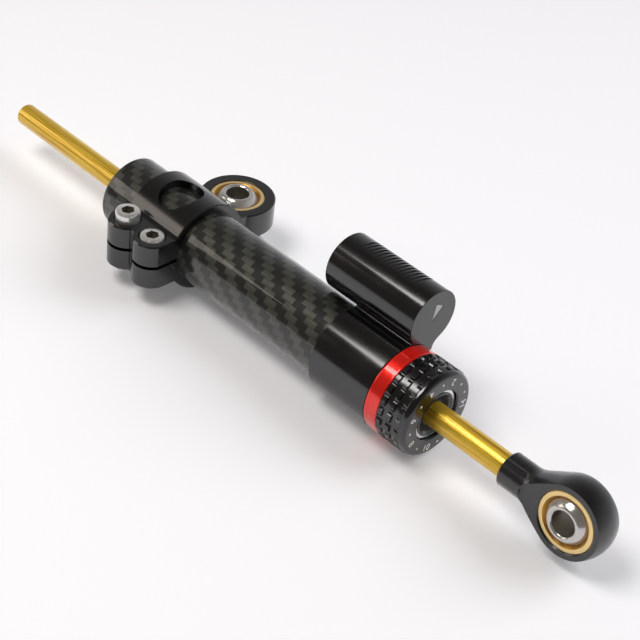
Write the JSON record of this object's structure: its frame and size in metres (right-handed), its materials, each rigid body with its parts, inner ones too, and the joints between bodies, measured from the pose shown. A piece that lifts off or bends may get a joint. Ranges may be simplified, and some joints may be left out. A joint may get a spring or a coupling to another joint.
{
  "type": "scooter steering damper",
  "caption": "Linear hydraulic steering damper: through rod in a carbon tube, piggyback reservoir, click adjuster, split frame clamp and spherical bearings at both ends.",
  "frame": {"origin": "centre of the frame-side spherical bearing in the clamp's lug", "axes": "+X along the damper towards its rod eye, +Z along the frame bearing's bore and up out of the side with the screw heads, +Y away from the tube's axis on the lug's side"},
  "size_m": [0.2726, 0.0622, 0.0462],
  "materials": {
    "carbon_fibre": "clear-coated twill-woven carbon fibre laminate",
    "black_anodised": "black anodised, satin gloss",
    "plain_aluminium": "machined",
    "red_anodised": "bright red anodised",
    "gold_coated_rod": "ground steel with a gold titanium nitride coat",
    "gold_race": "machined brass",
    "bearing_steel": "hardened steel, polished",
    "stainless": "stainless, bright",
    "steel": "spring and tool steel, bright",
    "bronze": "sintered bronze",
    "black_gloss": "black powder coat, gloss",
    "seal_rubber": "nitrile rubber",
    "slide_plastic": "filled slide-band plastic"
  },
  "bodies": {
    "damper_body": {"carbon_tube": "carbon_fibre", "cylinder_liner": "steel", "head_block": "black_anodised", "reservoir_plug": "black_anodised", "reservoir_plug_o_ring": "seal_rubber", "fill_screw": "steel", "rear_gland": "black_anodised", "rear_gland_o_ring": "seal_rubber", "rear_rod_bush": "bronze", "rear_rod_seal": "seal_rubber", "rear_wiper": "seal_rubber", "front_gland": "plain_aluminium", "front_gland_o_ring": "seal_rubber", "front_rod_bush": "bronze", "front_rod_seal": "seal_rubber", "front_wiper": "seal_rubber", "adjuster_collar": "red_anodised", "click_ball": "bearing_steel", "click_spring": "steel", "knob_snap_ring": "steel", "clamp_body": "black_anodised", "clamp_screws": "stainless", "frame_race": "gold_race"},
    "adjuster": {"adjuster_knob": "black_anodised", "metering_sleeve": "plain_aluminium"},
    "floating_piston": {"reservoir_piston": "plain_aluminium", "reservoir_piston_o_ring": "seal_rubber"},
    "sliding_piston": {"piston": "plain_aluminium", "piston_band": "slide_plastic"},
    "rod": {"damper_rod": "gold_coated_rod", "piston_clips": "steel", "rod_eye": "black_gloss", "eye_race": "gold_race"},
    "rod_end_ball": {"eye_ball": "bearing_steel"},
    "frame_bearing_ball": {"frame_ball": "bearing_steel"}
  },
  "joints": [
    {"name": "rod_stroke", "type": "slide", "parent": "damper_body", "child": "sliding_piston", "axis": [1, 0, 0], "range_m": [-0.027, 0.048]},
    {"name": "rod_spin", "type": "hinge", "parent": "sliding_piston", "child": "rod", "pos_m": [0.0205, -0.02383, 0], "axis": [1, 0, 0], "continuous": true},
    {"name": "rod_end_tilt", "type": "hinge", "parent": "rod", "child": "rod_end_ball", "pos_m": [0.17005, -0.02383, 0], "axis": [0, 0.0872, 0.9962], "range_deg": [-13, 13]},
    {"name": "frame_bearing_tilt", "type": "hinge", "parent": "damper_body", "child": "frame_bearing_ball", "pos_m": [0, 0, 0], "axis": [0, 1, 0], "range_deg": [-13, 13]},
    {"name": "adjuster_turn", "type": "hinge", "parent": "damper_body", "child": "adjuster", "pos_m": [0.112, -0.02383, 0], "axis": [1, 0, 0], "range_deg": [-312, 24]},
    {"name": "gas_piston_slide", "type": "slide", "parent": "damper_body", "child": "floating_piston", "axis": [1, 0, 0], "range_m": [-0.009, 0.009]}
  ]
}
